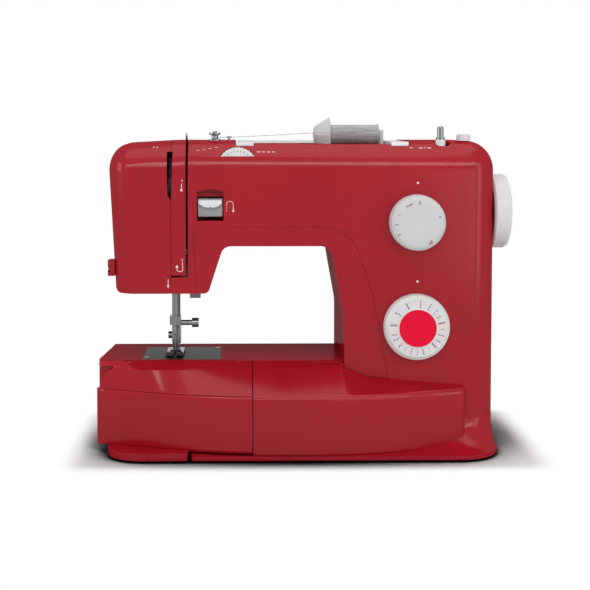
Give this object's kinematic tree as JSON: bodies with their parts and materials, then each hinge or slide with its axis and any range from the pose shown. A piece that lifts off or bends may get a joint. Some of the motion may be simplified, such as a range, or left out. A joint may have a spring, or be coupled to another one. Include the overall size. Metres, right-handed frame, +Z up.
{
  "type": "sewing machine",
  "caption": "Portable sewing machine with a free arm, fold-down carrying handle, horizontal thread spool, two front dials, handwheel and slide-off table with storage.",
  "frame": {"origin": "middle of the bounding box on the ground under the feet", "axes": "+X towards the handwheel, +Y to the back, +Z up; the dials face -Y"},
  "size_m": [0.37, 0.17, 0.295],
  "materials": {
    "red_plastic": "satin",
    "white_plastic": "satin",
    "grey_plastic": "fine grain",
    "dark_plastic": "fine grain",
    "lamp_glass": "frosted",
    "bright_steel": "polished",
    "plain_steel": "ground",
    "screw_steel": "plated",
    "frame_metal": "as cast",
    "bushing_brass": "sintered",
    "foot_rubber": "matt",
    "belt_rubber": "matt",
    "sewing_thread": "spun"
  },
  "bodies": {
    "housing": {"base_tray": "red_plastic", "rubber_feet": "foot_rubber", "front_cover": "red_plastic", "rear_cover": "red_plastic", "face_cover": "red_plastic", "free_arm_cover": "red_plastic", "cover_screws": "screw_steel", "thread_cutter": "white_plastic", "needle_plate": "bright_steel", "plate_screws": "screw_steel", "cast_frame": "frame_metal", "shaft_bushings": "bushing_brass", "drive_belt": "belt_rubber", "motor": "frame_metal", "timing_belt": "belt_rubber", "hook_race": "plain_steel", "bobbin_case": "plain_steel", "hook_cover": "white_plastic", "tension_discs": "plain_steel", "spool_pin": "grey_plastic", "pretension_guide": "bright_steel", "upper_thread": "sewing_thread", "bobbin_stopper": "white_plastic", "lamp": "lamp_glass", "power_inlet": "dark_plastic"},
    "handwheel_shaft": {"handwheel": "white_plastic", "main_shaft": "plain_steel", "crank": "plain_steel"},
    "motor_rotor": {"motor_pulley": "plain_steel"},
    "hook_shaft": {"lower_shaft": "plain_steel"},
    "link": {"needle_link": "plain_steel"},
    "hook": {"shuttle_hook": "plain_steel"},
    "bobbin": {"bobbin": "white_plastic"},
    "feed": {"feed_dog": "plain_steel"},
    "needle_swing": {"needle_bar_frame": "frame_metal"},
    "needle_set": {"needle_bar": "bright_steel", "needle_clamp": "plain_steel", "clamp_screw": "bright_steel", "needle": "bright_steel"},
    "presser_set": {"presser_bar": "bright_steel", "presser_spring": "plain_steel", "foot_holder": "plain_steel", "presser_foot": "bright_steel", "thumb_screw": "bright_steel"},
    "lifter": {"presser_lifter": "plain_steel"},
    "take_up": {"take_up_lever": "bright_steel"},
    "tension_wheel": {"tension_dial": "white_plastic"},
    "stitch_wheel": {"stitch_length_dial": "white_plastic"},
    "pattern_wheel": {"pattern_dial": "white_plastic", "cam_stack": "white_plastic"},
    "reverse": {"reverse_lever": "white_plastic"},
    "handle": {"handle": "white_plastic"},
    "spool": {"thread_spool": "sewing_thread"},
    "cap": {"spool_cap": "white_plastic"},
    "winder": {"winder_arm": "white_plastic"},
    "winder_shaft": {"winder_spindle": "bright_steel"},
    "table": {"extension_table": "red_plastic", "table_foot": "foot_rubber"},
    "lid": {"storage_lid": "red_plastic"},
    "switch": {"power_switch": "white_plastic"}
  },
  "joints": [
    {"name": "handwheel_turn", "type": "hinge", "parent": "housing", "child": "handwheel_shaft", "pos_m": [0.1, 0, 0.2096], "axis": [1, 0, 0], "continuous": true},
    {"name": "motor_turn", "type": "hinge", "parent": "housing", "child": "motor_rotor", "pos_m": [0.136, 0.052, 0.046], "axis": [1, 0, 0], "continuous": true},
    {"name": "lower_shaft_turn", "type": "hinge", "parent": "housing", "child": "hook_shaft", "pos_m": [0, 0, 0.044], "axis": [1, 0, 0], "continuous": true},
    {"name": "link_turn", "type": "hinge", "parent": "handwheel_shaft", "child": "link", "pos_m": [-0.099, -0.0147, 0.2126], "axis": [1, 0, 0], "continuous": true},
    {"name": "hook_swing", "type": "hinge", "parent": "housing", "child": "hook", "pos_m": [-0.117, 0, 0.054], "axis": [0, 1, 0], "range_deg": [-100, 100]},
    {"name": "bobbin_turn", "type": "hinge", "parent": "housing", "child": "bobbin", "pos_m": [-0.117, -0.018, 0.054], "axis": [0, 1, 0], "continuous": true},
    {"name": "feed_travel", "type": "slide", "parent": "housing", "child": "feed", "axis": [0, 1, 0], "range_m": [-0.002, 0.002]},
    {"name": "needle_side_swing", "type": "hinge", "parent": "housing", "child": "needle_swing", "pos_m": [-0.117, 0, 0.252], "axis": [0, 1, 0], "range_deg": [-1.2, 1.2]},
    {"name": "needle_stroke", "type": "slide", "parent": "needle_swing", "child": "needle_set", "axis": [0, 0, 1], "range_m": [-0.018, 0.012]},
    {"name": "presser_lift", "type": "slide", "parent": "housing", "child": "presser_set", "axis": [0, 0, 1], "range_m": [0, 0.006], "deforming": ["presser_spring"]},
    {"name": "lifter_turn", "type": "hinge", "parent": "housing", "child": "lifter", "pos_m": [-0.11, 0.033, 0.15], "axis": [1, 0, 0], "range_deg": [0, 70]},
    {"name": "take_up_swing", "type": "hinge", "parent": "housing", "child": "take_up", "pos_m": [-0.105, 0.004, 0.247], "axis": [1, 0, 0], "range_deg": [0, 75]},
    {"name": "tension_turn", "type": "hinge", "parent": "housing", "child": "tension_wheel", "pos_m": [-0.0606, -0.0402, 0.2507], "axis": [0, 1, 0], "range_deg": [-150, 150]},
    {"name": "stitch_length_turn", "type": "hinge", "parent": "housing", "child": "stitch_wheel", "pos_m": [0.0965, -0.05, 0.2029], "axis": [0, 1, 0], "range_deg": [0, 270]},
    {"name": "pattern_turn", "type": "hinge", "parent": "housing", "child": "pattern_wheel", "pos_m": [0.0965, -0.05, 0.1111], "axis": [0, 1, 0], "continuous": true},
    {"name": "reverse_press", "type": "hinge", "parent": "housing", "child": "reverse", "pos_m": [-0.0844, -0.036, 0.214], "axis": [1, 0, 0], "range_deg": [0, 14], "stiffness_Nm_per_rad": 0.4, "springref_deg": -5.73},
    {"name": "handle_fold", "type": "hinge", "parent": "housing", "child": "handle", "pos_m": [0, -0.0288, 0.2675], "axis": [1, 0, 0], "range_deg": [0, 90], "deforming": ["upper_thread"]},
    {"name": "spool_turn", "type": "hinge", "parent": "housing", "child": "spool", "pos_m": [0.046, 0.018, 0.2792], "axis": [1, 0, 0], "continuous": true},
    {"name": "cap_pull", "type": "slide", "parent": "housing", "child": "cap", "axis": [-1, 0, 0], "range_m": [0, 0.018]},
    {"name": "winder_shift", "type": "hinge", "parent": "housing", "child": "winder", "pos_m": [0.1193, 0.01, 0.247], "axis": [0, 0, 1], "range_deg": [0, 5.4]},
    {"name": "winder_turn", "type": "hinge", "parent": "winder", "child": "winder_shaft", "pos_m": [0.1193, -0.031, 0.25], "axis": [0, 0, 1], "continuous": true},
    {"name": "table_slide", "type": "slide", "parent": "housing", "child": "table", "axis": [-1, 0, 0], "range_m": [0, 0.15]},
    {"name": "lid_open", "type": "hinge", "parent": "table", "child": "lid", "pos_m": [-0.115, -0.0428, 0.078], "axis": [-1, 0, 0], "range_deg": [0, 80]},
    {"name": "switch_rock", "type": "hinge", "parent": "housing", "child": "switch", "pos_m": [0.163, 0.016, 0.081], "axis": [0, 1, 0], "range_deg": [0, 12]}
  ],
  "couplings": [
    {"joint": "motor_turn", "follows": "handwheel_turn", "ratio": 3.8},
    {"joint": "lower_shaft_turn", "follows": "handwheel_turn", "ratio": 1},
    {"joint": "link_turn", "follows": "handwheel_turn", "ratio": -1},
    {"joint": "lifter_turn", "follows": "presser_lift", "rad_per_m": 203.62}
  ]
}
